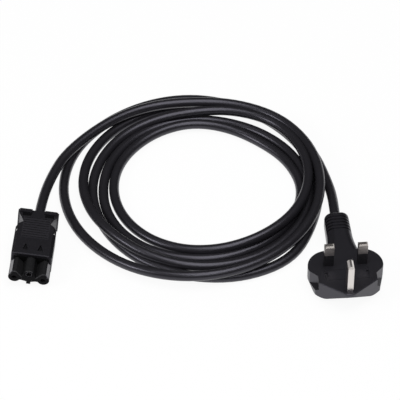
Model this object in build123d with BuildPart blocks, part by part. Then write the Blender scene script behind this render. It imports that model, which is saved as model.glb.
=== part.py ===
"""Mains power lead: a fused three-pin plug, a coiled flexible cord and a three-pole coupler socket."""
import os
from math import acos, atan2, cos, hypot, radians, sin, tan

from build123d import *

os.makedirs("parts", exist_ok=True)

# Layout on the floor, seen from above, in millimetres and degrees
plug_x, plug_y, plug_turn = 98.9, -10.2, 5.0
coupler_x, coupler_y, coupler_turn, coupler_roll = -110.1, -3.1, -4.3, 6.1
coil_x, coil_y = -1.1, 74.6

# Cord
cord_diameter = 6.9
core_diameter = 2.4
core_pitch_radius = 1.6
coil_outer_radius = 92.5
coil_eye_radius = 60.0
coil_eye_shift_x, coil_eye_shift_y = 9.0, 1.5
coil_height = 14.5
coil_edge_radius = 5.5

# Plug pins, to the British thirteen ampere pattern
pin_spacing = 22.23
earth_offset = 22.23
pin_width, pin_thickness, pin_reach = 6.35, 3.97, 17.7
earth_width, earth_depth, earth_reach = 3.97, 7.92, 22.73
pin_root = 7.5
pin_bevel = 0.9
earth_bevel_side, earth_bevel_end, earth_bevel_height = 1.3, 0.7, 1.9
sleeve_reach, sleeve_wall, sleeve_root = 9.5, 0.5, 3.0

# Plug body
plug_height = 17.0
plug_rear = 12.5
plug_neck_half = 11.0
plug_half_width, plug_lobe_y = 25.0, -3.0
plug_corner_x, plug_corner_y = 21.5, -15.2
plug_tip, plug_tip_radius = -29.2, 6.8
plug_back_half, plug_back_front, plug_back_rear = 17.5, -15.5, 9.0
plug_back_corner, plug_back_edge = 7.0, 1.0
plug_side_run, plug_front_run = 1.1, 0.95
plug_edge_radius = 0.6
grip_half_width, grip_rear = 19.4, -10.5
grip_floor_inner, grip_floor_outer = 10.5, 6.0
outlet_length = 35.5
outlet_half_width, outlet_root_half, outlet_flare_half = 8.2, 8.6, 12.0
outlet_flare_end = 30.0
outlet_axis_height = 8.5
outlet_corner, outlet_end_radius = 5.6, 2.0
groove_count, groove_pitch, groove_width, groove_depth = 5, 2.8, 1.2, 0.8
groove_first, groove_plain_half = 5.2, 3.8
sheath_in_plug = 15.0

# Pin carrier and fuse
carrier_skin = 1.6
carrier_half_width = 15.5
carrier_rear = 5.0
carrier_nose_half, carrier_nose = 6.5, -25.2
carrier_plate = 2.8
carrier_bottom = 4.4
fuse_length, fuse_diameter = 25.4, 6.3
fuse_cap_length, fuse_cap_wall = 5.6, 0.4
fuse_y, fuse_z = -10.2, 10.2
fuse_lid_length, fuse_lid_width, fuse_lid_thickness = 29.0, 8.6, 2.2
fuse_lid_clearance = 0.15
nail_slot_width, nail_slot_length, nail_slot_depth, nail_slot_inset = 1.5, 5.0, 1.2, 1.0
fuse_cheek_length, fuse_cheek_thickness, fuse_cheek_drop, fuse_cheek_gap = 11.0, 0.9, 7.5, 0.05
fuse_clearance = 0.3
clip_sheet, clip_length, clip_leg = 0.6, 3.6, 4.6
strap_width, strap_sheet = 3.0, 0.9
load_strap_x, earth_strap_x, neutral_strap_inset = -4.2, 3.6, 1.4
crimp_length, crimp_wall = 4.0, 0.45
core_bend_radius = 5.0

# Coupler shells
coupler_width, coupler_height, coupler_length = 27.4, 16.5, 41.5
coupler_top_width, coupler_bevel = 23.4, 1.4
coupler_wall = 1.5
flange_thickness, flange_width, flange_corner = 3.0, 26.3, 1.4
flange_dip_length, flange_dip_depth = 3.4, 0.7
flange_notch_width, flange_notch_depth = 8.6, 1.0
waist_half_width, waist_from_tail = 9.2, 12.0
shoulder_from_tail, shoulder_cut_x, shoulder_cut_y = 16.8, 1.2, 2.2
rib_count, rib_pitch, rib_width, rib_depth, rib_length = 9, 2.15, 1.1, 0.5, 17.0
rib_first_from_tail = 8.2
drop_x, drop_front, drop_width, drop_length, drop_depth = 5.0, 4.0, 3.7, 5.8, 1.0
lip_chamfer = 0.6
chamber_rear_half, chamber_margin = 5.0, 3.4

# Coupler nose and contacts
nose_length, nose_chamfer = 13.0, 0.4
middle_ring, middle_groove_width, middle_groove_depth = 0.55, 0.6, 0.7
pole_pitch, outer_pole_height, middle_pole_height = 9.6, 6.3, 10.7
barrel_radius, middle_barrel_radius = 4.05, 3.2
barrel_top, barrel_flat_inner, barrel_flat_outer = 12.2, 8.7, 10.6
valley_x, valley_height = 4.6, 7.7
nose_key_width, nose_key_bottom = 2.8, 1.4
neck_half, neck_low, neck_high, neck_clearance = 11.8, 3.0, 13.6, 0.1
block_clearance, block_step = 0.1, 1.4
wiring_length = 11.2
contact_bore, contact_wall, contact_recess = 1.7, 0.6, 2.0
contact_tube_length = 17.0
terminal_width, terminal_height, terminal_length = 3.6, 5.6, 8.0
terminal_clearance = 0.1
wire_hole_depth = 6.0
terminal_screw_radius = 1.1
screw_slot_width, screw_slot_depth = 0.5, 0.5
sheath_in_coupler = 10.5
clamp_length, clamp_width, clamp_thickness = 15.6, 4.6, 3.6
clamp_from_tail, clamp_gap, clamp_clearance = 6.6, 0.8, 0.3
clamp_screw_x, clamp_screw_radius, clamp_screw_length = 5.8, 1.2, 8.5
clamp_head_radius, clamp_head_height = 2.1, 1.3

cord_radius = cord_diameter / 2
core_radius = core_diameter / 2
plug_place = Location((plug_x, plug_y, 0), (0, 0, plug_turn))
coupler_lift = (flange_width / 2 - flange_corner) * sin(radians(coupler_roll)) + flange_corner * (1 - cos(radians(coupler_roll)))
coupler_place = Location((coupler_x, coupler_y, coupler_lift), (0, 0, coupler_turn)) * Location((0, 0, 0), (0, coupler_roll, 0))


def in_plug(plane):
    return Plane(plug_place * plane.location)


def in_coupler(plane):
    return Plane(coupler_place * plane.location)


def plug_point(x, y, z):
    return (plug_place * Location((x, y, z))).position


def coupler_point(x, y, z):
    return (coupler_place * Location((x, y, z))).position


def write(piece, name):
    piece.part.label = name
    export_step(piece.part, f"parts/{name}.step")


# Plug levels
outlet_end = plug_rear + outlet_length
sheath_end_in_plug = outlet_end - sheath_in_plug
carrier_top = plug_height - carrier_skin
carrier_block_front = earth_depth / 2 - earth_offset
pin_bottom = plug_height - pin_root
half_spacing = pin_spacing / 2
cap_middle = (fuse_length - fuse_cap_length) / 2
clip_base_top = fuse_z - fuse_diameter / 2 - fuse_clearance
fuse_pocket_floor = clip_base_top - clip_sheet
neutral_strap_x = neutral_strap_inset - half_spacing
clip_gap_half = fuse_diameter / 2 + fuse_clearance
core_seats = [(0, core_pitch_radius), (-core_pitch_radius * 0.87, -core_pitch_radius / 2),
              (core_pitch_radius * 0.87, -core_pitch_radius / 2)]


# Envelope of the pin carrier, which also forms its pocket in the plug body
with BuildPart() as carrier_envelope:
    with BuildSketch(in_plug(Plane.XY.offset(carrier_top - carrier_plate))):
        Polygon(
            (carrier_half_width, carrier_rear),
            (-carrier_half_width, carrier_rear),
            (-carrier_half_width, fuse_y - fuse_lid_width / 2),
            (-carrier_nose_half, carrier_nose),
            (carrier_nose_half, carrier_nose),
            (carrier_half_width, fuse_y - fuse_lid_width / 2),
            align=None,
        )
    extrude(amount=carrier_plate)
    with BuildSketch(in_plug(Plane.XY.offset(carrier_bottom))):
        Polygon(
            (carrier_half_width, carrier_rear),
            (-carrier_half_width, carrier_rear),
            (-carrier_half_width, fuse_y - fuse_lid_width / 2),
            (-carrier_nose_half, carrier_block_front),
            (carrier_nose_half, carrier_block_front),
            (carrier_half_width, fuse_y - fuse_lid_width / 2),
            align=None,
        )
    extrude(amount=carrier_top - carrier_plate - carrier_bottom)


# Insulated cores in the plug, from the end of the sheath to their crimps
plug_core_ends = {
    "line": (load_strap_x, clip_base_top - clip_sheet / 2),
    "neutral": (neutral_strap_x, pin_bottom + strap_sheet / 2),
    "earth": (earth_strap_x, carrier_bottom + strap_sheet / 2),
}


def core(points):
    with BuildPart() as piece:
        with BuildLine() as path:
            FilletPolyline(points, radius=core_bend_radius)
        with BuildSketch(Plane(origin=path.line @ 0, z_dir=path.line % 0)):
            Circle(core_radius)
        sweep()
    return piece


plug_cores = {}
for (name, (end_x, end_z)), (seat_x, seat_z) in zip(plug_core_ends.items(), core_seats):
    points = [
        (seat_x, sheath_end_in_plug, outlet_axis_height + seat_z),
        (seat_x, sheath_end_in_plug - core_bend_radius, outlet_axis_height + seat_z),
        (end_x, carrier_rear + crimp_length + 1, end_z),
        (end_x, carrier_rear, end_z),
    ]
    plug_cores[name] = core([plug_point(*point) for point in points])


# Crimped ends round the cores, behind the carrier
with BuildPart() as core_crimps:
    for end_x, end_z in plug_core_ends.values():
        with BuildSketch(in_plug(Plane.XZ.offset(-carrier_rear))):
            with Locations((end_x, end_z)):
                Circle(core_radius + crimp_wall)
        extrude(amount=-crimp_length)
crimp_hull = core_crimps.part
with BuildPart() as core_crimps:
    add(crimp_hull)
    for piece in plug_cores.values():
        add(piece.part, mode=Mode.SUBTRACT)


# Pins
def bevelled_pin(x, y, width, depth, reach, root, side_bevel, end_bevel, bevel_height):
    with BuildPart() as pin:
        with BuildSketch(in_plug(Plane.XY.offset(root))):
            with Locations((x, y)):
                Rectangle(width, depth)
        extrude(amount=plug_height + reach - bevel_height - root)
        with BuildSketch(in_plug(Plane.XY.offset(plug_height + reach - bevel_height))):
            with Locations((x, y)):
                Rectangle(width, depth)
        with BuildSketch(in_plug(Plane.XY.offset(plug_height + reach))):
            with Locations((x, y)):
                Rectangle(width - 2 * side_bevel, depth - 2 * end_bevel)
        loft()
    return pin


def sleeved_pin(x):
    with BuildPart() as pin:
        add(bevelled_pin(x, 0, pin_width, pin_thickness, pin_reach, pin_bottom, pin_bevel, pin_bevel, pin_bevel).part)
        with BuildSketch(in_plug(Plane.XY.offset(plug_height - sleeve_root))):
            with Locations((x, 0)):
                Rectangle(pin_width, pin_thickness)
                Rectangle(pin_width - 2 * sleeve_wall, pin_thickness - 2 * sleeve_wall, mode=Mode.SUBTRACT)
        extrude(amount=sleeve_root + sleeve_reach, mode=Mode.SUBTRACT)
    return pin


def pin_sleeve(x):
    with BuildPart() as sleeve:
        with BuildSketch(in_plug(Plane.XY.offset(plug_height - sleeve_root))):
            with Locations((x, 0)):
                Rectangle(pin_width, pin_thickness)
                Rectangle(pin_width - 2 * sleeve_wall, pin_thickness - 2 * sleeve_wall, mode=Mode.SUBTRACT)
        extrude(amount=sleeve_root + sleeve_reach)
    return sleeve


line_pin = sleeved_pin(half_spacing)
line_pin_sleeve = pin_sleeve(half_spacing)
neutral_pin_sleeve = pin_sleeve(-half_spacing)
with BuildPart() as neutral_pin:
    add(sleeved_pin(-half_spacing).part)
    with BuildSketch(in_plug(Plane.XY.offset(pin_bottom))):
        with Locations((neutral_strap_x, (pin_thickness / 2 + carrier_rear) / 2)):
            Rectangle(strap_width, carrier_rear - pin_thickness / 2)
    extrude(amount=strap_sheet)
earth_pin = bevelled_pin(0, -earth_offset, earth_width, earth_depth, earth_reach, carrier_top - carrier_plate,
                         earth_bevel_side, earth_bevel_end, earth_bevel_height)

# Earth strap, from the back of the earth pin under the fuse to the earth core
earth_back = earth_depth / 2 - earth_offset
with BuildPart() as earth_strap:
    with BuildSketch(in_plug(Plane.XY.offset(carrier_bottom))):
        Polygon(
            (-earth_width / 2, earth_back + strap_sheet),
            (-earth_width / 2, earth_back),
            (earth_strap_x + strap_width / 2, earth_back),
            (earth_strap_x + strap_width / 2, carrier_rear),
            (earth_strap_x - strap_width / 2, carrier_rear),
            (earth_strap_x - strap_width / 2, earth_back + strap_sheet),
            align=None,
        )
    extrude(amount=strap_sheet)
    with BuildSketch(in_plug(Plane.XY.offset(carrier_bottom))):
        with Locations((0, earth_back + strap_sheet / 2)):
            Rectangle(earth_width, strap_sheet)
    extrude(amount=carrier_top - carrier_bottom)


# Fuse clips: an upright U round each fuse cap
def fuse_clip(x):
    with BuildPart() as clip:
        with BuildSketch(in_plug(Plane.YZ.offset(x - clip_length / 2))):
            with Locations((fuse_y, clip_base_top - clip_sheet + clip_leg / 2 + clip_sheet / 2)):
                Rectangle(2 * (clip_gap_half + clip_sheet), clip_leg + clip_sheet)
            with Locations((fuse_y, clip_base_top + clip_leg / 2)):
                Rectangle(2 * clip_gap_half, clip_leg, mode=Mode.SUBTRACT)
        extrude(amount=clip_length)
    return clip


clip_rear = fuse_y + clip_gap_half + clip_sheet
with BuildPart() as fuse_clip_line:
    add(fuse_clip(cap_middle).part)
    with BuildSketch(in_plug(Plane.XY.offset(pin_bottom))):
        with Locations((half_spacing, (clip_rear - clip_sheet / 2 - pin_thickness / 2) / 2)):
            Rectangle(strap_width, -pin_thickness / 2 - clip_rear + clip_sheet / 2)
    extrude(amount=strap_sheet)
with BuildPart() as fuse_clip_load:
    add(fuse_clip(-cap_middle).part)
    with BuildSketch(in_plug(Plane.XY.offset(clip_base_top - clip_sheet))):
        Polygon(
            (-cap_middle, fuse_y - strap_width / 2),
            (load_strap_x + strap_width / 2, fuse_y - strap_width / 2),
            (load_strap_x + strap_width / 2, carrier_rear),
            (load_strap_x - strap_width / 2, carrier_rear),
            (load_strap_x - strap_width / 2, fuse_y + strap_width / 2),
            (-cap_middle, fuse_y + strap_width / 2),
            align=None,
        )
    extrude(amount=clip_sheet)


# Fuse: ceramic tube with a metal cap on each end
def fuse_cap(side):
    with BuildPart() as cap:
        with BuildSketch(in_plug(Plane.YZ.offset(side * fuse_length / 2))):
            with Locations((fuse_y, fuse_z)):
                Circle(fuse_diameter / 2)
        extrude(amount=-side * fuse_cap_length)
        with BuildSketch(in_plug(Plane.YZ.offset(side * (fuse_length / 2 - fuse_cap_wall)))):
            with Locations((fuse_y, fuse_z)):
                Circle(fuse_diameter / 2 - fuse_cap_wall)
        extrude(amount=-side * fuse_cap_length, mode=Mode.SUBTRACT)
    return cap


fuse_cap_line = fuse_cap(1)
fuse_cap_load = fuse_cap(-1)
with BuildPart() as fuse_tube:
    with BuildSketch(in_plug(Plane.YZ)):
        with Locations((fuse_y, fuse_z)):
            Circle(fuse_diameter / 2 - fuse_cap_wall)
    extrude(amount=fuse_length / 2 - fuse_cap_wall, both=True)


# Fuse carrier: a lid flush with the pin face, with two cheeks that hold the fuse
with BuildPart() as fuse_carrier:
    with BuildSketch(in_plug(Plane.XY.offset(plug_height))):
        with Locations((0, fuse_y)):
            Rectangle(fuse_lid_length, fuse_lid_width)
    extrude(amount=-fuse_lid_thickness)
    with BuildSketch(in_plug(Plane.XY.offset(plug_height - fuse_lid_thickness))):
        with Locations((0, fuse_y)):
            with GridLocations(0, fuse_diameter + 2 * fuse_cheek_gap + fuse_cheek_thickness, 1, 2):
                Rectangle(fuse_cheek_length, fuse_cheek_thickness)
    extrude(amount=-fuse_cheek_drop)
    with BuildSketch(in_plug(Plane.XY.offset(plug_height))):
        with Locations((0, fuse_y)):
            with GridLocations(fuse_lid_length - 2 * nail_slot_inset, 0, 2, 1):
                Rectangle(nail_slot_width, nail_slot_length)
    extrude(amount=-nail_slot_depth, mode=Mode.SUBTRACT)
fuse_pocket_length = fuse_lid_length + 2 * fuse_lid_clearance
fuse_pocket_width = fuse_lid_width + 2 * fuse_lid_clearance


# Pin carrier: the moulded inner frame that holds pins, clips and straps
with BuildPart() as pin_carrier:
    add(carrier_envelope.part)
    with BuildSketch(in_plug(Plane.XY.offset(fuse_pocket_floor))):
        with Locations((0, fuse_y)):
            Rectangle(fuse_pocket_length, fuse_pocket_width)
    extrude(amount=carrier_top - fuse_pocket_floor, mode=Mode.SUBTRACT)
    for piece in (line_pin, neutral_pin, earth_pin, earth_strap, fuse_clip_line, fuse_clip_load,
                  line_pin_sleeve, neutral_pin_sleeve):
        add(piece.part, mode=Mode.SUBTRACT)


# Plug body: the moulded case with its grips and grooved cord outlet
with BuildPart() as grip_cut:
    with BuildSketch(in_plug(Plane.XY)):
        Polygon(
            (grip_half_width, plug_tip),
            (grip_half_width, grip_rear),
            (plug_half_width + 2, grip_rear + plug_half_width + 2 - grip_half_width),
            (plug_half_width + 8, grip_rear + plug_half_width + 2 - grip_half_width),
            (plug_half_width + 8, plug_tip),
            align=None,
        )
    extrude(amount=plug_height + 2)
    with BuildSketch(in_plug(Plane.XZ)):
        Polygon(
            (grip_half_width, plug_height + 2),
            (grip_half_width, grip_floor_inner),
            (plug_half_width, grip_floor_outer),
            (plug_half_width + 8, grip_floor_outer),
            (plug_half_width + 8, plug_height + 2),
            align=None,
        )
    extrude(amount=-2 * plug_tip, both=True, mode=Mode.INTERSECT)
    mirror(about=in_plug(Plane.YZ))

with BuildPart() as cord_outlet:
    with BuildSketch(in_plug(Plane.XY)):
        with BuildLine():
            end_line = Polyline((0, outlet_end), (outlet_half_width, outlet_end), (outlet_root_half, outlet_flare_end))
            TangentArc(end_line @ 1, (outlet_flare_half, plug_rear), tangent=end_line % 1)
            Polyline((outlet_flare_half, plug_rear), (outlet_flare_half, carrier_rear), (0, carrier_rear))
            mirror(about=Plane.YZ)
        make_face()
    extrude(amount=plug_height)
    outlet_run = plug_point(0, 1, 0) - plug_point(0, 0, 0)
    outlet_sides = cord_outlet.edges().filter_by(lambda edge: (edge @ 0.5 - plug_point(0, plug_rear, 0)).dot(outlet_run) > 0.1)
    outlet_sides = outlet_sides.filter_by(lambda edge: abs((edge % 0.5).Z) < 0.1)
    outlet_sides = outlet_sides.filter_by(lambda edge: abs((edge % 0.5).dot(outlet_run)) > 0.5)
    fillet(outlet_sides, outlet_corner)
    fillet(cord_outlet.faces().sort_by(Axis(plug_point(0, 0, 0), outlet_run))[-1].edges(), outlet_end_radius)
    for index in range(groove_count):
        groove_y = outlet_end - groove_first - index * groove_pitch
        with BuildSketch(in_plug(Plane.XZ.offset(-groove_y))):
            with Locations((0, outlet_axis_height)):
                Rectangle(4 * outlet_root_half, 4 * outlet_axis_height)
                RectangleRounded(2 * (outlet_half_width - groove_depth), 2 * (outlet_axis_height - groove_depth),
                                 outlet_corner - groove_depth, mode=Mode.SUBTRACT)
                Rectangle(4 * outlet_root_half, 2 * groove_plain_half, mode=Mode.SUBTRACT)
        extrude(amount=-groove_width, mode=Mode.SUBTRACT)

# Tapered form with rounded corners that draws the plug's sides in towards its back
with BuildPart() as plug_under_form:
    for level in (0, plug_height):
        under_front = plug_back_front - level * plug_front_run
        under_rear = plug_back_rear + level * plug_side_run
        with BuildSketch(in_plug(Plane.XY.offset(level))):
            with Locations((0, (under_front + under_rear) / 2)):
                RectangleRounded(
                    2 * (plug_back_half + level * plug_side_run),
                    under_rear - under_front,
                    plug_back_corner + level * plug_front_run / 2,
                )
    loft()
    fillet(plug_under_form.faces().sort_by(Axis.Z)[0].edges(), plug_back_edge)

# Point where the straight side of the pin face runs into its rounded tip
tip_middle = plug_tip + plug_tip_radius
tip_turn = atan2(plug_corner_y - tip_middle, plug_corner_x)
tip_turn -= acos(plug_tip_radius / hypot(plug_corner_x, plug_corner_y - tip_middle))
tip_tangent = (plug_tip_radius * cos(tip_turn), tip_middle + plug_tip_radius * sin(tip_turn))

with BuildPart() as plug_body:
    with BuildSketch(in_plug(Plane.XY)):
        with BuildLine():
            rear_line = Line((0, plug_rear), (plug_neck_half, plug_rear))
            TangentArc(rear_line @ 1, (plug_half_width, plug_lobe_y), tangent=rear_line % 1)
            Line((plug_half_width, plug_lobe_y), (plug_corner_x, plug_corner_y))
            side_line = Line((plug_corner_x, plug_corner_y), tip_tangent)
            TangentArc(side_line @ 1, (0, plug_tip), tangent=side_line % 1)
            mirror(about=Plane.YZ)
        make_face()
    extrude(amount=plug_height)
    add(plug_under_form.part, mode=Mode.INTERSECT)
    fillet(plug_body.faces().sort_by(Axis.Z)[-1].edges(), plug_edge_radius)
    add(grip_cut.part, mode=Mode.SUBTRACT)
    add(cord_outlet.part)
    add(carrier_envelope.part, mode=Mode.SUBTRACT)
    with BuildSketch(in_plug(Plane.XY.offset(carrier_top))):
        with Locations((0, fuse_y)):
            Rectangle(fuse_pocket_length, fuse_pocket_width)
    extrude(amount=carrier_skin, mode=Mode.SUBTRACT)
    for piece in (line_pin, neutral_pin, earth_pin, line_pin_sleeve, neutral_pin_sleeve, *plug_cores.values()):
        add(piece.part, mode=Mode.SUBTRACT)
    add(crimp_hull, mode=Mode.SUBTRACT)
    with BuildSketch(in_plug(Plane.XZ.offset(-outlet_end))):
        with Locations((0, outlet_axis_height)):
            Circle(cord_radius)
    extrude(amount=sheath_in_plug, mode=Mode.SUBTRACT)


# Coupler levels
coupler_middle = coupler_height / 2
coupler_half = coupler_width / 2
sheath_end_in_coupler = coupler_length - sheath_in_coupler
block_rear = sheath_end_in_coupler - wiring_length
block_length = block_rear - coupler_wall
chamber_rear = sheath_end_in_coupler
pole_seats = {"line": (pole_pitch, outer_pole_height), "earth": (0, middle_pole_height),
              "neutral": (-pole_pitch, outer_pole_height)}


# Section of the keyed nose: two outer barrels, a raised middle barrel and a key below it
def nose_section():
    for side in (-1, 1):
        with Locations((side * pole_pitch, outer_pole_height)):
            Circle(barrel_radius)
        Polygon(
            (side * (pole_pitch + barrel_radius), outer_pole_height),
            (side * (barrel_flat_outer), barrel_top),
            (side * (barrel_flat_inner), barrel_top),
            (side * valley_x, valley_height),
            (side * valley_x, outer_pole_height - barrel_radius / 2),
            (side * pole_pitch, outer_pole_height - barrel_radius / 2),
            align=None,
        )
    with Locations((0, middle_pole_height)):
        Circle(middle_barrel_radius)
    Polygon(
        (-middle_barrel_radius, middle_pole_height),
        (-valley_x, valley_height),
        (-valley_x, outer_pole_height - barrel_radius / 2),
        (0, outer_pole_height - barrel_radius * 0.8),
        (valley_x, outer_pole_height - barrel_radius / 2),
        (valley_x, valley_height),
        (middle_barrel_radius, middle_pole_height),
        align=None,
    )
    with Locations((0, (nose_key_bottom + outer_pole_height) / 2)):
        Rectangle(nose_key_width, outer_pole_height - nose_key_bottom)


# Contacts: spring tube in the nose, screw terminal behind it
terminal_front = contact_recess + contact_tube_length - nose_length


def contact(x, z):
    with BuildPart() as piece:
        with BuildSketch(in_coupler(Plane.XZ.offset(nose_length - contact_recess))):
            with Locations((x, z)):
                Circle(contact_bore + contact_wall)
        extrude(amount=-contact_tube_length)
        with BuildSketch(in_coupler(Plane.XZ.offset(nose_length - contact_recess))):
            with Locations((x, z)):
                Circle(contact_bore)
        extrude(amount=-contact_tube_length + 2 * contact_wall, mode=Mode.SUBTRACT)
        with BuildSketch(in_coupler(Plane.XZ.offset(-terminal_front))):
            with Locations((x, z)):
                Rectangle(terminal_width, terminal_height)
        extrude(amount=-terminal_length)
        with BuildSketch(in_coupler(Plane.XZ.offset(-terminal_front - terminal_length))):
            with Locations((x, z)):
                Circle(core_radius)
        extrude(amount=wire_hole_depth, mode=Mode.SUBTRACT)
        with BuildSketch(in_coupler(Plane.XY.offset(z + terminal_height / 2))):
            with Locations((x, terminal_front + terminal_length / 2)):
                Circle(terminal_screw_radius)
        extrude(amount=-terminal_height / 2, mode=Mode.SUBTRACT)
    return piece


contacts = {name: contact(x, z) for name, (x, z) in pole_seats.items()}
with BuildPart() as terminal_screws:
    for x, z in pole_seats.values():
        with BuildSketch(in_coupler(Plane.XY.offset(z + terminal_height / 2))):
            with Locations((x, terminal_front + terminal_length / 2)):
                Circle(terminal_screw_radius)
        extrude(amount=-(terminal_height / 2 - core_radius))
        with BuildSketch(in_coupler(Plane.XY.offset(z + terminal_height / 2))):
            with Locations((x, terminal_front + terminal_length / 2)):
                Rectangle(2 * terminal_screw_radius, screw_slot_width)
        extrude(amount=-screw_slot_depth, mode=Mode.SUBTRACT)

# Cores in the coupler, from the terminals to the end of the sheath
coupler_cores = {}
for (name, (x, z)), (seat_x, seat_z) in zip(pole_seats.items(), (core_seats[2], core_seats[0], core_seats[1])):
    points = [
        (x, terminal_front + terminal_length - wire_hole_depth, z),
        (x, block_rear, z),
        (seat_x, sheath_end_in_coupler - core_diameter, coupler_middle + seat_z),
        (seat_x, sheath_end_in_coupler, coupler_middle + seat_z),
    ]
    coupler_cores[name] = core([coupler_point(*point) for point in points])

# Contact block: keyed nose in front, terminal housing behind it inside the shells
block_half = coupler_half - coupler_wall - block_clearance
block_low = coupler_wall + block_clearance
block_high = coupler_height - coupler_wall - block_clearance
pocket_width = terminal_width + 2 * terminal_clearance
with BuildPart() as contact_block:
    with BuildSketch(in_coupler(Plane.XZ.offset(nose_length))):
        nose_section()
    extrude(amount=-nose_length)
    nose_front = contact_block.faces().sort_by(Axis(coupler_point(0, 0, 0), coupler_point(0, 1, 0) - coupler_point(0, 0, 0)))[0]
    chamfer(nose_front.edges(), nose_chamfer)
    with BuildSketch(in_coupler(Plane.XZ.offset(nose_length))):
        with Locations((0, middle_pole_height)):
            Circle(contact_bore + middle_ring + middle_groove_width)
            Circle(contact_bore + middle_ring, mode=Mode.SUBTRACT)
    extrude(amount=-middle_groove_depth, mode=Mode.SUBTRACT)
    with BuildSketch(in_coupler(Plane.XZ)):
        with Locations((0, (neck_low + neck_high) / 2)):
            Rectangle(2 * neck_half, neck_high - neck_low)
    extrude(amount=-coupler_wall)
    with BuildSketch(in_coupler(Plane.XZ.offset(-coupler_wall))):
        with Locations((0, (block_low + block_high) / 2)):
            Rectangle(2 * block_half, block_high - block_low)
    extrude(amount=-block_length)
    for x, z in pole_seats.values():
        with BuildSketch(in_coupler(Plane.XZ.offset(nose_length))):
            with Locations((x, z)):
                Circle(contact_bore)
        extrude(amount=-contact_recess, mode=Mode.SUBTRACT)
        with BuildSketch(in_coupler(Plane.XZ.offset(nose_length - contact_recess))):
            with Locations((x, z)):
                Circle(contact_bore + contact_wall)
        extrude(amount=-contact_tube_length, mode=Mode.SUBTRACT)
        pocket_floor = z - terminal_height / 2
        with BuildSketch(in_coupler(Plane.XZ.offset(-terminal_front))):
            with Locations((x, (pocket_floor + block_high) / 2)):
                Rectangle(pocket_width, block_high - pocket_floor)
        extrude(amount=terminal_front - block_rear, mode=Mode.SUBTRACT)


# Cord clamp: a bar over the sheath, screwed down into the lower shell
clamp_y = coupler_length - clamp_from_tail
clamp_low = coupler_middle + clamp_gap
clamp_high = clamp_low + clamp_thickness
with BuildPart() as cord_clamp:
    with BuildSketch(in_coupler(Plane.XY.offset(clamp_low))):
        with Locations((0, clamp_y)):
            RectangleRounded(clamp_length, clamp_width, clamp_width / 4)
    extrude(amount=clamp_thickness)
    with BuildSketch(in_coupler(Plane.XZ.offset(-clamp_y))):
        with Locations((0, coupler_middle)):
            Circle(cord_radius)
    extrude(amount=clamp_width, both=True, mode=Mode.SUBTRACT)
    with BuildSketch(in_coupler(Plane.XY.offset(clamp_low))):
        with Locations((0, clamp_y)):
            with GridLocations(2 * clamp_screw_x, 0, 2, 1):
                Circle(clamp_screw_radius)
    extrude(amount=clamp_thickness, mode=Mode.SUBTRACT)
with BuildPart() as clamp_screws:
    with BuildSketch(in_coupler(Plane.XY.offset(clamp_high))):
        with Locations((0, clamp_y)):
            with GridLocations(2 * clamp_screw_x, 0, 2, 1):
                Circle(clamp_screw_radius)
    extrude(amount=-clamp_screw_length)
    with BuildSketch(in_coupler(Plane.XY.offset(clamp_high))):
        with Locations((0, clamp_y)):
            with GridLocations(2 * clamp_screw_x, 0, 2, 1):
                Circle(clamp_head_radius)
    extrude(amount=clamp_head_height)
    with BuildSketch(in_coupler(Plane.XY.offset(clamp_high + clamp_head_height))):
        with Locations((0, clamp_y)):
            with GridLocations(2 * clamp_screw_x, 0, 2, 1):
                Rectangle(2 * clamp_head_radius, screw_slot_width)
    extrude(amount=-screw_slot_depth, mode=Mode.SUBTRACT)


# Coupler shells: one outer form, hollowed and parted at mid height
flange_front = coupler_length - flange_thickness
waist_y = coupler_length - waist_from_tail
shoulder_y = coupler_length - shoulder_from_tail
with BuildPart() as waist_scoops:
    with BuildSketch(in_coupler(Plane.XY)):
        Polygon(
            (coupler_half + 1, flange_front),
            (flange_width / 2, flange_front),
            (waist_half_width, waist_y),
            (coupler_half - shoulder_cut_x, shoulder_y + shoulder_cut_y),
            (coupler_half, shoulder_y),
            (coupler_half + 1, shoulder_y),
            align=None,
        )
    extrude(amount=coupler_height)
    mirror(about=in_coupler(Plane.YZ))

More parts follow.
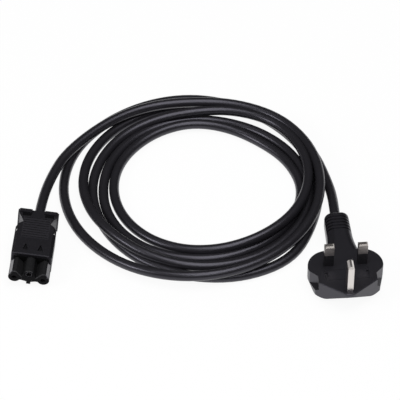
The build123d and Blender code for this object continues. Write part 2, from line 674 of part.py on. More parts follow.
with BuildPart() as shell_form:
    with BuildSketch(in_coupler(Plane.XZ)):
        with BuildLine():
            Polyline(
                (0, 0),
                (coupler_top_width / 2, 0),
                (coupler_half, coupler_bevel),
                (coupler_half, coupler_height - coupler_bevel),
                (coupler_top_width / 2, coupler_height),
                (0, coupler_height),
            )
            mirror(about=Plane.YZ)
        make_face()
    extrude(amount=-coupler_length)
    front_face = shell_form.faces().sort_by(Axis(coupler_point(0, 0, 0), coupler_point(0, 1, 0) - coupler_point(0, 0, 0)))[0]
    chamfer(front_face.edges(), lip_chamfer)
    add(waist_scoops.part, mode=Mode.SUBTRACT)
    with BuildSketch(in_coupler(Plane.XY.offset(coupler_height))):
        with Locations((0, flange_front - flange_dip_length / 2)):
            Rectangle(2 * coupler_width, flange_dip_length)
    extrude(amount=-flange_dip_depth, mode=Mode.SUBTRACT)
    with BuildSketch(in_coupler(Plane.XZ.offset(-coupler_length))):
        with Locations((0, coupler_middle)):
            RectangleRounded(flange_width, coupler_height, flange_corner)
    extrude(amount=flange_thickness)
    with BuildSketch(in_coupler(Plane.XY.offset(coupler_height))):
        with Locations((0, coupler_length)):
            Rectangle(flange_notch_width, 2 * flange_thickness)
    extrude(amount=-flange_notch_depth, mode=Mode.SUBTRACT)
    for index in range(rib_count):
        rib_y = coupler_length - rib_first_from_tail - index * rib_pitch
        with BuildSketch(in_coupler(Plane.XY.offset(coupler_height))):
            with Locations((0, rib_y)):
                Rectangle(rib_length, rib_width)
        extrude(amount=-rib_depth, mode=Mode.SUBTRACT)
    with BuildSketch(in_coupler(Plane.XY.offset(coupler_height))):
        for side in (-1, 1):
            Polygon(
                (side * drop_x, drop_front + drop_length),
                (side * drop_x - drop_width / 2, drop_front),
                (side * drop_x + drop_width / 2, drop_front),
                align=None,
            )
    extrude(amount=-drop_depth, mode=Mode.SUBTRACT)
    with BuildSketch(in_coupler(Plane.XZ)):
        with Locations((0, (neck_low + neck_high) / 2)):
            Rectangle(2 * (neck_half + neck_clearance), neck_high - neck_low + 2 * neck_clearance)
    extrude(amount=-coupler_wall, mode=Mode.SUBTRACT)
    with BuildSketch(in_coupler(Plane.XZ.offset(-coupler_wall))):
        with Locations((0, coupler_middle)):
            Rectangle(coupler_width - 2 * coupler_wall, coupler_height - 2 * coupler_wall)
    extrude(amount=-block_length, mode=Mode.SUBTRACT)
    with BuildSketch(in_coupler(Plane.XY.offset(chamber_margin))):
        Polygon(
            (block_half - block_step, block_rear),
            (block_half - block_step, block_rear + coupler_wall),
            (chamber_rear_half, chamber_rear),
            (-chamber_rear_half, chamber_rear),
            (block_step - block_half, block_rear + coupler_wall),
            (block_step - block_half, block_rear),
            align=None,
        )
    extrude(amount=coupler_height - 2 * chamber_margin, mode=Mode.SUBTRACT)
    with BuildSketch(in_coupler(Plane.XZ.offset(-coupler_length))):
        with Locations((0, coupler_middle)):
            Circle(cord_radius)
    extrude(amount=sheath_in_coupler, mode=Mode.SUBTRACT)
    with BuildSketch(in_coupler(Plane.XY.offset(coupler_middle))):
        with Locations((0, clamp_y)):
            Rectangle(clamp_length + 2 * clamp_clearance, clamp_width + 2 * clamp_clearance)
    extrude(amount=clamp_gap + clamp_thickness + clamp_head_height + clamp_clearance, mode=Mode.SUBTRACT)
    add(clamp_screws.part, mode=Mode.SUBTRACT)
with BuildPart() as upper_shell:
    add(shell_form.part)
    split(bisect_by=in_coupler(Plane.XY.offset(coupler_middle)), keep=Keep.TOP)
with BuildPart() as lower_shell:
    add(shell_form.part)
    split(bisect_by=in_coupler(Plane.XY.offset(coupler_middle)), keep=Keep.BOTTOM)


# Coil of the cord, as one closed ring whose eye lies off centre
with BuildPart() as cord_coil:
    with BuildSketch():
        with Locations((coil_x, coil_y)):
            Circle(coil_outer_radius)
        with Locations((coil_x + coil_eye_shift_x, coil_y + coil_eye_shift_y)):
            Circle(coil_eye_radius, mode=Mode.SUBTRACT)
    extrude(amount=coil_height)
    fillet(cord_coil.faces().sort_by(Axis.Z)[-1].edges(), coil_edge_radius)
    fillet(cord_coil.faces().sort_by(Axis.Z)[0].edges(), cord_radius)

# Leads from both ends into the coil
coupler_lead_points = [
    coupler_point(0, sheath_end_in_coupler, coupler_middle),
    coupler_point(0, coupler_length + 2 * cord_diameter, coupler_middle),
    Vector(coil_x - 95.1, coil_y + 3.8, coupler_middle + 0.2),
    Vector(coil_x - 82.1, coil_y + 25.8, coupler_middle + 0.2),
]
plug_lead_points = [
    plug_point(0, sheath_end_in_plug, outlet_axis_height),
    plug_point(0, outlet_end + 1.6 * cord_diameter, outlet_axis_height),
    Vector(coil_x + 89.9, coil_y - 6.7, outlet_axis_height - 2.4),
    Vector(coil_x + 79.9, coil_y + 13.3, outlet_axis_height - 3.4),
]


def lead(points):
    radii = []
    for before, here, after in zip(points, points[1:], points[2:]):
        turn = radians((here - before).get_angle(after - here))
        radii.append(0.45 * min((here - before).length, (after - here).length) / tan(turn / 2))
    print("cord bend radii", [round(radius) for radius in radii])
    with BuildPart() as piece:
        with BuildLine() as path:
            FilletPolyline(points, radius=radii)
        with BuildSketch(Plane(origin=path.line @ 0, z_dir=path.line % 0)):
            Circle(cord_radius)
        sweep()
        add(cord_coil.part, mode=Mode.SUBTRACT)
    return piece


coupler_lead = lead(coupler_lead_points)
plug_lead = lead(plug_lead_points)

# Files
write(plug_body, "plug_body")
write(pin_carrier, "pin_carrier")
write(earth_pin, "earth_pin")
write(line_pin, "line_pin")
write(neutral_pin, "neutral_pin")
write(line_pin_sleeve, "line_pin_sleeve")
write(neutral_pin_sleeve, "neutral_pin_sleeve")
write(fuse_carrier, "fuse_carrier")
write(fuse_tube, "fuse_tube")
write(fuse_cap_line, "fuse_cap_line")
write(fuse_cap_load, "fuse_cap_load")
write(fuse_clip_line, "fuse_clip_line")
write(fuse_clip_load, "fuse_clip_load")
write(earth_strap, "earth_strap")
write(core_crimps, "core_crimps")
for name, piece in plug_cores.items():
    write(piece, f"plug_core_{name}")
write(contact_block, "contact_block")
write(upper_shell, "upper_shell")
write(lower_shell, "lower_shell")
for name, piece in contacts.items():
    write(piece, f"contact_{name}")
write(terminal_screws, "terminal_screws")
write(cord_clamp, "cord_clamp")
write(clamp_screws, "clamp_screws")
for name, piece in coupler_cores.items():
    write(piece, f"coupler_core_{name}")
write(coupler_lead, "coupler_lead")
write(cord_coil, "cord_coil")
write(plug_lead, "plug_lead")
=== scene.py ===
import math

import bmesh
import bpy
from mathutils import Matrix, Vector


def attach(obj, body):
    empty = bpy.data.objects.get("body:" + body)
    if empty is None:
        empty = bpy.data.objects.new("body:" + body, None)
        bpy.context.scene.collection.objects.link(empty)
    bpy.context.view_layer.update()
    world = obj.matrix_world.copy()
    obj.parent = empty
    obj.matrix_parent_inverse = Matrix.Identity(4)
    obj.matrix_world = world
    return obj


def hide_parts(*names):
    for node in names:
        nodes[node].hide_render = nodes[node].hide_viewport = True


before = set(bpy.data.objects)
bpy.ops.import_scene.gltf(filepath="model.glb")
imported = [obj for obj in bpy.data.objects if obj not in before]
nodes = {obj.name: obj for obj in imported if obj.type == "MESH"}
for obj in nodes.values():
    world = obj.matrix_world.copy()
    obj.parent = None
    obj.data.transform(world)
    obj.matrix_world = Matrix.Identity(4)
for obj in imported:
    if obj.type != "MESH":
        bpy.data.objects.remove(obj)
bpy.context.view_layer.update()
print("frame loaded", len(nodes))

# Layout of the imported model, in metres
layout = {
    "couplerAt": (-0.1101, -0.0031, 0.00126),
    "couplerTurn": math.radians(-4.3),
    "couplerRoll": math.radians(6.1),
    "coilAt": (-0.0026, 0.0736),
}
couplerFrame = (Matrix.Translation(layout["couplerAt"])
                @ Matrix.Rotation(layout["couplerTurn"], 4, "Z")
                @ Matrix.Rotation(layout["couplerRoll"], 4, "Y"))
mmPerMetre = 1000


# Node helpers: a value given to an input is either another node's output or a plain setting
def feed(tree, socket, value):
    if isinstance(value, bpy.types.NodeSocket):
        tree.links.new(value, socket)
    else:
        socket.default_value = value


def addNode(tree, kind, inputs=None, **settings):
    node = tree.nodes.new(kind)
    for key, value in settings.items():
        setattr(node, key, value)
    for key, value in (inputs or {}).items():
        feed(tree, node.inputs[key], value)
    return node


def newMaterial(name):
    material = bpy.data.materials.new(name)
    material.use_nodes = True
    tree = material.node_tree
    return material, tree, tree.nodes["Principled BSDF"]


def objectNoise(tree, scale, detail, stretch=(1, 1, 1)):
    place = addNode(tree, "ShaderNodeTexCoord").outputs["Object"]
    mapping = addNode(tree, "ShaderNodeMapping", {"Vector": place, "Scale": stretch})
    noise = addNode(tree, "ShaderNodeTexNoise",
                    {"Vector": mapping.outputs["Vector"], "Scale": scale, "Detail": detail})
    return noise.outputs["Fac"]


def ranged(tree, source, low, high, start=0.0, end=1.0):
    node = addNode(tree, "ShaderNodeMapRange", {"Value": source, "From Min": start,
                                                "From Max": end, "To Min": low, "To Max": high})
    return node.outputs["Result"]


def reckoned(tree, operation, *values):
    node = addNode(tree, "ShaderNodeMath", dict(enumerate(values)), operation=operation)
    return node.outputs[0]


# The Mix node's low, high and result sockets, by what it mixes
mixSockets = {"RGBA": (6, 7, 2), "FLOAT": (2, 3, 0)}


def mixed(tree, kind, factor, low, high):
    lowAt, highAt, resultAt = mixSockets[kind]
    node = addNode(tree, "ShaderNodeMix", {0: factor, lowAt: low, highAt: high}, data_type=kind)
    return node.outputs[resultAt]


def opaque(colour):
    return (*colour, 1)


# Moulded plastic: faint colour drift, uneven gloss and a fine spark-eroded grain.
# Noise is scale and detail, grain is scale and depth in metres
mouldedNoise = {"drift": (60, 2), "patches": (220, 3), "grainDetail": 2}
coolSheen = (0.875, 0.85, 1, 1)
plastics = {
    "plugPlastic": {"dark": (0.009, 0.0086, 0.0102), "light": (0.0119, 0.0114, 0.0134),
                    "roughness": (0.28, 0.34), "grain": (5200, 0.00001), "specular": 0.72},
    "shellPlastic": {"dark": (0.0053, 0.005, 0.0059), "light": (0.0079, 0.0075, 0.0088),
                     "roughness": (0.34, 0.44), "grain": (4800, 0.00001), "specular": 0.54},
    "nosePlastic": {"dark": (0.0045, 0.0045, 0.0048), "light": (0.0065, 0.0065, 0.007),
                    "roughness": (0.26, 0.34), "grain": (5000, 0.000005), "specular": 0.04},
    "cheekPlastic": {"dark": (0.0045, 0.0045, 0.0048), "light": (0.0065, 0.0065, 0.007),
                     "roughness": (0.18, 0.24), "grain": (5000, 0.000003), "specular": 0.7},
    "sleevePlastic": {"dark": (0.006, 0.006, 0.0062), "light": (0.009, 0.009, 0.0092),
                      "roughness": (0.34, 0.44), "grain": (5000, 0.00001), "specular": 0.5},
    "innerPlastic": {"dark": (0.55, 0.55, 0.52), "light": (0.64, 0.64, 0.61),
                     "roughness": (0.40, 0.55), "grain": (4000, 0.00002), "specular": 0.5},
    "sheath": {"dark": (0.0103, 0.0097, 0.0116), "light": (0.0142, 0.0135, 0.016),
               "roughness": (0.28, 0.35), "grain": (3600, 0.00001), "specular": 0.6},
    "fuseCeramic": {"dark": (0.74, 0.73, 0.69), "light": (0.84, 0.83, 0.79),
                    "roughness": (0.45, 0.6), "grain": (3000, 0.00003), "specular": 0.5},
    "brownCore": {"dark": (0.10, 0.035, 0.014), "light": (0.14, 0.05, 0.02),
                  "roughness": (0.35, 0.5), "grain": (3000, 0.00002), "specular": 0.5},
    "blueCore": {"dark": (0.02, 0.09, 0.32), "light": (0.03, 0.12, 0.42),
                 "roughness": (0.35, 0.5), "grain": (3000, 0.00002), "specular": 0.5},
}


def moulded(name, dark, light, roughness, grain, specular):
    material, tree, shader = newMaterial(name)
    drift = objectNoise(tree, *mouldedNoise["drift"])
    patches = objectNoise(tree, *mouldedNoise["patches"])
    grainScale, grainDepth = grain
    fine = objectNoise(tree, grainScale, mouldedNoise["grainDetail"])
    bump = addNode(tree, "ShaderNodeBump",
                   {"Strength": 1.0, "Distance": grainDepth, "Height": fine})
    feed(tree, shader.inputs["Base Color"],
         mixed(tree, "RGBA", drift, opaque(dark), opaque(light)))
    feed(tree, shader.inputs["Roughness"], ranged(tree, patches, *roughness))
    feed(tree, shader.inputs["Normal"], bump.outputs["Normal"])
    shader.inputs["Specular IOR Level"].default_value = specular
    shader.inputs["Specular Tint"].default_value = coolSheen
    return material


# Plated or bare sheet metal with drawn scratches: stretch sets their run, depth is in metres.
# The line and neutral pins get a darker copy of the plated brass, painted shade, with a little
# more roughness
metalNoise = {"tone": (150, 3), "scratches": (900, 4), "bumpStrength": 0.25}
metals = {
    "platedBrass": {"dark": (0.70, 0.66, 0.635), "light": (0.77, 0.73, 0.705),
                    "roughness": (0.25, 0.33), "stretch": (1, 1, 0.06), "depth": 0.000003},
    # painted shade: darker copy of the plated brass for the line and neutral pins
    "shadedPinBrass": {"dark": (0.44, 0.41, 0.39), "light": (0.50, 0.465, 0.44),
                    "roughness": (0.30, 0.38), "stretch": (1, 1, 0.06), "depth": 0.000003},
    "bareBrass": {"dark": (0.62, 0.46, 0.20), "light": (0.74, 0.56, 0.28),
                  "roughness": (0.24, 0.38), "stretch": (0.08, 1, 1), "depth": 0.00003},
    "screwSteel": {"dark": (0.52, 0.52, 0.52), "light": (0.62, 0.62, 0.62),
                   "roughness": (0.26, 0.40), "stretch": (1, 0.1, 1), "depth": 0.00003},
}


def sheetMetal(name, dark, light, roughness, stretch, depth):
    material, tree, shader = newMaterial(name)
    tone = objectNoise(tree, *metalNoise["tone"])
    scratches = objectNoise(tree, *metalNoise["scratches"], stretch)
    bump = addNode(tree, "ShaderNodeBump", {"Strength": metalNoise["bumpStrength"],
                                            "Distance": depth, "Height": scratches})
    feed(tree, shader.inputs["Base Color"],
         mixed(tree, "RGBA", tone, opaque(dark), opaque(light)))
    feed(tree, shader.inputs["Roughness"], ranged(tree, scratches, *roughness))
    feed(tree, shader.inputs["Normal"], bump.outputs["Normal"])
    shader.inputs["Metallic"].default_value = 1.0
    return material


# Green and yellow earth core: two bands along the wire
earthBands = {"green": (0.07, 0.26, 0.04), "yellow": (0.62, 0.5, 0.03), "waves": 1800,
              "edge": 0.1, "gloss": (400, 3), "roughness": (0.35, 0.5)}


def stripedCore(name):
    material, tree, shader = newMaterial(name)
    place = addNode(tree, "ShaderNodeTexCoord").outputs["Object"]
    split = addNode(tree, "ShaderNodeSeparateXYZ", {"Vector": place})
    along = reckoned(tree, "MULTIPLY", split.outputs["X"], earthBands["waves"])
    band = reckoned(tree, "GREATER_THAN", reckoned(tree, "SINE", along), earthBands["edge"])
    feed(tree, shader.inputs["Base Color"],
         mixed(tree, "RGBA", band, opaque(earthBands["green"]), opaque(earthBands["yellow"])))
    gloss = objectNoise(tree, *earthBands["gloss"])
    feed(tree, shader.inputs["Roughness"], ranged(tree, gloss, *earthBands["roughness"]))
    return material


finish = {name: moulded(name, **values) for name, values in plastics.items()}
finish.update({name: sheetMetal(name, **values) for name, values in metals.items()})
finish["earthCore"] = stripedCore("earthCore")


# Lays a second colour, and a gloss if given, over a material where the mask is 1
def overlay(material, mask, colour, roughness):
    tree = material.node_tree
    shader = tree.nodes["Principled BSDF"]
    covers = [("Base Color", "RGBA", opaque(colour))]
    if roughness is not None:
        covers.append(("Roughness", "FLOAT", roughness))
    for key, kind, over in covers:
        socket = shader.inputs[key]
        under = socket.links[0].from_socket
        feed(tree, socket, mixed(tree, kind, mask, under, over))


# Faces that lean one way, broken up by noise: painted light on the upward faces of the nose,
# painted highlight on its edges up and forward, and painted shade with a duller finish on the
# plug's pin face
leanNoise = (700, 2)
leanings = [
    # painted light: upward faces of the nose lighter
    {"on": "nosePlastic", "lean": (0, 0, 1), "from": 0.1, "to": 0.6, "least": 0.5,
     "colour": (0.0165, 0.0165, 0.0175), "roughness": None},
    # painted highlight along the nose edges that face up and forward
    {"on": "nosePlastic", "lean": (0, -0.707, 0.707), "from": 0.76, "to": 0.86, "least": 0.5,
     "colour": (0.06, 0.06, 0.063), "roughness": None},
    # painted shade on the plug's flat top face, with a rougher finish
    {"on": "plugPlastic", "lean": (0, 0, 1), "from": 0.93, "to": 0.97, "least": 0.9,
     "colour": (0.0042, 0.0041, 0.0049), "roughness": 0.42},
]
for leaning in leanings:
    material = finish[leaning["on"]]
    tree = material.node_tree
    facing = addNode(tree, "ShaderNodeTexCoord").outputs["Normal"]
    lean = addNode(tree, "ShaderNodeVectorMath", {0: facing, 1: leaning["lean"]},
                   operation="DOT_PRODUCT")
    edge = ranged(tree, lean.outputs["Value"], 0.0, 1.0, leaning["from"], leaning["to"])
    patchy = ranged(tree, objectNoise(tree, *leanNoise), leaning["least"], 1.0)
    mask = reckoned(tree, "MULTIPLY", edge, patchy)
    overlay(material, mask, leaning["colour"], leaning["roughness"])

# Painted shade on the floors of the pressed-in marks and of the dip before the flange, and
# painted light on the ribs:
# middle and half span in the coupler's own metres, the same on its left and right
tonedAreas = [
    # painted shade in the pressed-in marks
    {"X": (0.005, 0.0025), "Y": (0.0069, 0.0034), "Z": (0.0157, 0.0005),
     "colour": (0.0034, 0.0033, 0.0036), "roughness": 0.32},
    # painted shade in the dip before the flange
    {"X": (0.0076, 0.003), "Y": (0.0368, 0.0018), "Z": (0.0158, 0.0003),
     "colour": (0.002, 0.002, 0.0022), "roughness": 0.2},
    # painted light on the ribs
    {"X": (0, 0.0092), "Y": (0.0247, 0.0095), "Z": (0.0165, 0.0015),
     "colour": (0.0142, 0.0136, 0.0156), "roughness": 0.4},
]
tree = finish["shellPlastic"].node_tree
place = addNode(tree, "ShaderNodeTexCoord").outputs["Object"]
local = addNode(tree, "ShaderNodeMapping",
                {"Vector": place, "Location": couplerFrame.to_translation(),
                 "Rotation": couplerFrame.to_euler()}, vector_type="TEXTURE")
split = addNode(tree, "ShaderNodeSeparateXYZ", {"Vector": local.outputs["Vector"]})
for area in tonedAreas:
    mask = 1.0
    for axis in "XYZ":
        reach = reckoned(tree, "ABSOLUTE", split.outputs[axis])
        mask = reckoned(tree, "MULTIPLY", mask, reckoned(tree, "COMPARE", reach, *area[axis]))
    overlay(finish["shellPlastic"], mask, area["colour"], area["roughness"])

nodeFinishes = {
    "plugPlastic": ["plug_body", "fuse_carrier"],
    "shellPlastic": ["upper_shell", "lower_shell"],
    "nosePlastic": ["contact_block"],
    "sleevePlastic": ["line_pin_sleeve", "neutral_pin_sleeve"],
    "innerPlastic": ["pin_carrier", "cord_clamp"],
    "sheath": ["coupler_lead", "cord_coil", "plug_lead"],
    "fuseCeramic": ["fuse_tube"],
    "brownCore": ["plug_core_line", "coupler_core_line"],
    "blueCore": ["plug_core_neutral", "coupler_core_neutral"],
    "earthCore": ["plug_core_earth", "coupler_core_earth"],
    "platedBrass": ["earth_pin", "fuse_cap_line", "fuse_cap_load",
                    "contact_line", "contact_earth", "contact_neutral"],
    # line and neutral pins take the darker brass, painted shade
    "shadedPinBrass": ["line_pin", "neutral_pin"],
    "bareBrass": ["fuse_clip_line", "fuse_clip_load", "earth_strap", "core_crimps"],
    "screwSteel": ["terminal_screws", "clamp_screws"],
}
for finishName, nodeNames in nodeFinishes.items():
    for nodeName in nodeNames:
        slots = nodes[nodeName].data.materials
        slots.clear()
        slots.append(finish[finishName])
print("materials set")

# Cord: radii about the coil's middle and heights in mm, clockwise from the north-west
coil = {
    "radii": [
        81.7, 78.7, 77.0, 81.7, 87.0, 88.0, 87.8, 88.0, 88.2, 89.2, 89.6, 87.8, 86.0, 86.8,
        88.0, 88.5, 88.0, 85.1, 82.5, 83.4, 85.2, 85.5, 86.4, 87.6, 94.0, 89.7, 83.0, 77.0,
        71.8, 68.8, 67.9, 68.0, 69.2, 68.4, 69.0, 76.2, 82.4, 82.5, 79.7, 75.4, 70.3, 65.1,
        60.4, 57.0, 54.6, 53.4, 53.3, 54.4, 56.4, 59.1, 61.8, 63.0, 64.9, 70.4, 75.2, 74.5,
        72.0, 69.6, 67.2, 65.5, 64.0, 61.9, 60.4, 61.0, 62.8, 65.2, 68.0, 69.6, 73.0, 77.2,
        80.6, 80.8, 79.4, 77.8, 76.0, 73.9, 72.2, 72.9, 74.4, 76.2, 78.4, 80.4, 83.0, 87.5,
        91.4,
    ],
    "heights": [
        11.0, 11.4, 11.6, 11.1, 10.5, 10.3, 10.2, 10.3, 10.4, 10.8, 10.4, 7.6, 4.6, 3.7,
        3.5, 3.5, 3.6, 7.1, 9.8, 7.4, 4.2, 3.7, 3.8, 3.6, 3.5, 3.5, 3.5, 3.5,
        3.5, 3.5, 3.5, 4.1, 5.2, 7.5, 9.7, 10.1, 10.0, 10.0, 10.0, 10.4, 10.2, 7.7,
        5.0, 3.9, 3.5, 3.5, 3.5, 3.5, 3.5, 4.8, 5.8, 4.8, 3.5, 3.5, 3.5, 3.5,
        3.5, 3.5, 3.5, 3.5, 3.5, 3.5, 3.5, 3.5, 3.5, 3.5, 3.5, 3.5, 3.5, 3.5,
        3.5, 3.5, 3.5, 4.5, 6.0, 8.3, 9.9, 8.6, 6.5, 5.0, 3.8, 3.5, 3.5, 3.5,
        3.5,
    ],
    "firstAngle": 45, "pointsPerTurn": 16,
    "pull": 0.981,  # the spline runs inside its points
    "couplerLead": [(-106.9, 27.75, 9.46), (-105.0, 52.1, 9.4), (-99.6, 77.4, 9.0),
                    (-89.0, 103.4, 9.6)],
    "plugLead": [(82.3, 108.8, 3.5), (91.8, 74.5, 4.0), (93.6, 58.5, 6.5),
                 (93.85, 48.6, 8.5), (96.02, 22.67, 8.5)],
    "diameter": 0.0069, "stepsPerPoint": 6, "roundness": 6,
}


def coilPoint(index):
    angle = math.radians(coil["firstAngle"] + 360 / coil["pointsPerTurn"] * index)
    reach = coil["radii"][index] / coil["pull"] / mmPerMetre
    x = layout["coilAt"][0] - reach * math.cos(angle)
    y = layout["coilAt"][1] + reach * math.sin(angle)
    return Vector((x, y, coil["heights"][index] / mmPerMetre))


turns = [coilPoint(index) for index in range(len(coil["radii"]))]
leadIn = [Vector(point) / mmPerMetre for point in coil["couplerLead"]]
leadOut = [Vector(point) / mmPerMetre for point in coil["plugLead"]]
route = leadIn + turns + leadOut

cordCurve = bpy.data.curves.new("cord", "CURVE")
cordCurve.dimensions = "3D"
spline = cordCurve.splines.new("NURBS")
spline.points.add(len(route) - 1)
for point, place in zip(spline.points, route):
    point.co = (*place, 1)
spline.order_u = 3
spline.use_endpoint_u = True
spline.resolution_u = coil["stepsPerPoint"]
cordCurve.bevel_depth = coil["diameter"] / 2
cordCurve.bevel_resolution = coil["roundness"]
cordCurve.use_fill_caps = True
cordCurve.materials.append(finish["sheath"])
cord = bpy.data.objects.new("cord", cordCurve)
bpy.context.scene.collection.objects.link(cord)
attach(cord, "lead")
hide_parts("coupler_lead", "cord_coil", "plug_lead")
print("cord laid", len(route))

# Coupler trim in the coupler's own mm: flat cheeks on the outer poles, a lip round the
# middle bore, latch spring ends at the shoulders
trim = {
    "cheek": [(13.44, 7.6), (11.3, 12.22), (10.5, 12.1), (12.5, 8.4)],
    "cheekSpan": (-12.6, 0.0), "cheekEdge": 0.1, "cheekEdgeSteps": 2,
    "lipAt": (0, -13.0, 10.7), "lipRadius": 2.0, "lipThickness": 0.17,
    "lipSteps": 40, "lipSides": 8,
    "springAt": (12.6, 21.7, 16.0), "springSize": (0.9, 2.0, 0.8),
    "springGrid": 3, "springSmoothing": 2,
}


def couplerPoint(x, y, z):
    return couplerFrame @ (Vector((x, y, z)) / mmPerMetre)


def fullTurn(steps):
    return [2 * math.pi * step / steps for step in range(steps)]


def closedStrip(mesh, first, second):
    count = len(first)
    for index in range(count):
        after = (index + 1) % count
        mesh.faces.new((first[index], first[after], second[after], second[index]))


def trimPiece(name, mesh):
    bmesh.ops.recalc_face_normals(mesh, faces=mesh.faces[:])
    data = bpy.data.meshes.new(name)
    mesh.to_mesh(data)
    mesh.free()
    data.materials.append(finish["cheekPlastic"])
    piece = bpy.data.objects.new(name, data)
    bpy.context.scene.collection.objects.link(piece)
    return piece


def noseCheeks():
    mesh = bmesh.new()
    for side in (-1, 1):
        ends = [[mesh.verts.new(couplerPoint(side * x, y, z)) for x, z in trim["cheek"]]
                for y in trim["cheekSpan"]]
        closedStrip(mesh, *ends)
        for end in ends:
            mesh.faces.new(end)
    piece = trimPiece("noseCheeks", mesh)
    soften = piece.modifiers.new("softEdge", "BEVEL")
    soften.width = trim["cheekEdge"] / mmPerMetre
    soften.segments = trim["cheekEdgeSteps"]
    soften.limit_method = "ANGLE"
    return piece


def middleLip():
    mesh = bmesh.new()
    x, y, z = trim["lipAt"]
    rings = []
    for turn in fullTurn(trim["lipSteps"]):
        ring = []
        for roll in fullTurn(trim["lipSides"]):
            reach = trim["lipRadius"] + trim["lipThickness"] * math.cos(roll)
            rise = trim["lipThickness"] * math.sin(roll)
            at = couplerPoint(x + reach * math.cos(turn), y + rise, z + reach * math.sin(turn))
            ring.append(mesh.verts.new(at))
        rings.append(ring)
    for step, ring in enumerate(rings):
        closedStrip(mesh, ring, rings[(step + 1) % len(rings)])
    piece = trimPiece("middleLip", mesh)
    for polygon in piece.data.polygons:
        polygon.use_smooth = True
    return piece


# Rounded steel tabs set on the points of a mesh
def latchTree():
    tree = bpy.data.node_groups.new("latchTabs", "GeometryNodeTree")

    def port(name, direction, kind):
        return tree.interface.new_socket(name, in_out=direction, socket_type=kind).identifier

    port("Geometry", "INPUT", "NodeSocketGeometry")
    sizeKey = port("Tab Size", "INPUT", "NodeSocketVector")
    turnKey = port("Tab Turn", "INPUT", "NodeSocketVector")
    port("Geometry", "OUTPUT", "NodeSocketGeometry")
    source = addNode(tree, "NodeGroupInput").outputs
    grid = {"Vertices " + axis: trim["springGrid"] for axis in "XYZ"}
    tab = addNode(tree, "GeometryNodeMeshCube", {"Size": source["Tab Size"], **grid})
    rounded = addNode(tree, "GeometryNodeSubdivisionSurface",
                      {"Mesh": tab.outputs["Mesh"], "Level": trim["springSmoothing"]})
    smooth = addNode(tree, "GeometryNodeSetShadeSmooth", {"Geometry": rounded.outputs["Mesh"]})
    turn = addNode(tree, "FunctionNodeEulerToRotation", {"Euler": source["Tab Turn"]})
    points = addNode(tree, "GeometryNodeMeshToPoints", {"Mesh": source["Geometry"]})
    placed = addNode(tree, "GeometryNodeInstanceOnPoints",
                     {"Points": points.outputs["Points"],
                      "Instance": smooth.outputs["Geometry"],
                      "Rotation": turn.outputs["Rotation"]})
    real = addNode(tree, "GeometryNodeRealizeInstances",
                   {"Geometry": placed.outputs["Instances"]})
    steel = addNode(tree, "GeometryNodeSetMaterial",
                    {"Geometry": real.outputs["Geometry"], "Material": finish["screwSteel"]})
    addNode(tree, "NodeGroupOutput", {"Geometry": steel.outputs["Geometry"]})
    return tree, sizeKey, turnKey


def latchSprings():
    x, y, z = trim["springAt"]
    seats = bpy.data.meshes.new("latchSeats")
    seats.from_pydata([couplerPoint(-x, y, z), couplerPoint(x, y, z)], [], [])
    piece = bpy.data.objects.new("latchSprings", seats)
    bpy.context.scene.collection.objects.link(piece)
    tabs = piece.modifiers.new("tabs", "NODES")
    tabs.node_group, sizeKey, turnKey = latchTree()
    tabs[sizeKey] = [size / mmPerMetre for size in trim["springSize"]]
    tabs[turnKey] = list(couplerFrame.to_euler())
    whole = piece.evaluated_get(bpy.context.evaluated_depsgraph_get())
    plainMesh = bpy.data.meshes.new_from_object(whole)
    piece.modifiers.clear()
    piece.data = plainMesh
    return piece


cheeks = noseCheeks()
springs = latchSprings()
lip = middleLip()
for piece, slot in ((cheeks, "coupler_plastic"), (springs, "screw_steel"),
                    (lip, "coupler_plastic")):
    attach(piece, "lead")
print("coupler trim made")

# Camera at the photo's angle
camera = {"target": Vector((0.003, 0.0654, 0)), "elevation": math.radians(45),
          "distance": 1.8, "lens": 236.5, "sensor": 36}
cameraData = bpy.data.cameras.new("camera")
cameraData.lens = camera["lens"]
cameraData.sensor_width = camera["sensor"]
cameraObject = bpy.data.objects.new("camera", cameraData)
away = Vector((0, -math.cos(camera["elevation"]), math.sin(camera["elevation"])))
cameraObject.location = camera["target"] + away * camera["distance"]
cameraObject.rotation_euler = (math.pi / 2 - camera["elevation"], 0, 0)
bpy.context.scene.collection.objects.link(cameraObject)
bpy.context.scene.camera = cameraObject

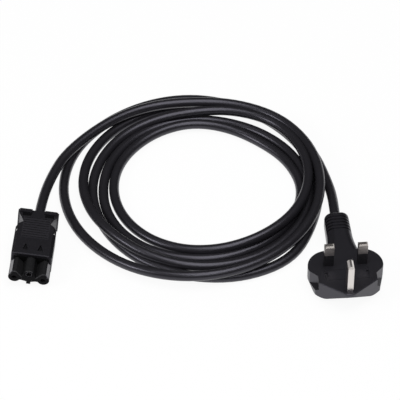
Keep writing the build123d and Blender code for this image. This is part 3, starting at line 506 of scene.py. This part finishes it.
# Floor: white to the camera and in reflections, with a faint shadow under the object
ground = {"half": 6.0, "tone": (0.9, 0.9, 0.9), "roughness": 0.9, "glow": 0.92}
floorMaterial, tree, shader = newMaterial("floor")
shader.inputs["Base Color"].default_value = opaque(ground["tone"])
shader.inputs["Roughness"].default_value = ground["roughness"]
shader.inputs["Specular IOR Level"].default_value = 0.0
rays = addNode(tree, "ShaderNodeLightPath").outputs
seen = reckoned(tree, "MAXIMUM", rays["Is Camera Ray"], rays["Is Glossy Ray"])
glow = addNode(tree, "ShaderNodeEmission", {"Strength": 1.0})
surface = addNode(tree, "ShaderNodeMixShader",
                  {0: reckoned(tree, "MULTIPLY", seen, ground["glow"]),
                   1: shader.outputs[0], 2: glow.outputs[0]})
feed(tree, tree.nodes["Material Output"].inputs["Surface"], surface.outputs[0])
floorMesh = bpy.data.meshes.new("floor")
half = ground["half"]
corners = [(-half, -half, 0), (half, -half, 0), (half, half, 0), (-half, half, 0)]
floorMesh.from_pydata(corners, [], [(0, 1, 2, 3)])
floorMesh.materials.append(floorMaterial)
floor = bpy.data.objects.new("floor", floorMesh)
bpy.context.scene.collection.objects.link(floor)

# World: white backdrop, a soft fill, and a dark studio above in the reflections
sky = {"fill": 0.35, "reflected": 0.05}
world = bpy.data.worlds.new("studio")
bpy.context.scene.world = world
world.use_nodes = True
tree = world.node_tree
backdrop = tree.nodes["Background"]
backdrop.inputs["Color"].default_value = (1, 1, 1, 1)
rays = addNode(tree, "ShaderNodeLightPath").outputs
fill = ranged(tree, rays["Is Glossy Ray"], sky["fill"], sky["reflected"])
feed(tree, backdrop.inputs["Strength"], reckoned(tree, "MAXIMUM", fill, rays["Is Camera Ray"]))

# Studio lamps: two broad ones above and in front, a smaller one on the left
lamps = [
    {"name": "overhead", "at": (0.2, -0.1, 1.5), "aim": (0, 0.06, 0), "size": 1.1, "power": 13},
    {"name": "front", "at": (0.1, -1.0, 1.4), "aim": (0, 0.04, 0), "size": 0.7, "power": 4},
    {"name": "side", "at": (-1.2, -0.5, 0.9), "aim": (0, 0.05, 0), "size": 0.5, "power": 7},
]
for lamp in lamps:
    lightData = bpy.data.lights.new(lamp["name"], "AREA")
    lightData.size = lamp["size"]
    lightData.energy = lamp["power"]
    light = bpy.data.objects.new(lamp["name"], lightData)
    light.location = lamp["at"]
    beam = Vector(lamp["aim"]) - Vector(lamp["at"])
    light.rotation_euler = beam.to_track_quat("-Z", "Y").to_euler()
    bpy.context.scene.collection.objects.link(light)
bpy.context.scene.view_settings.view_transform = "Standard"
print("studio ready")
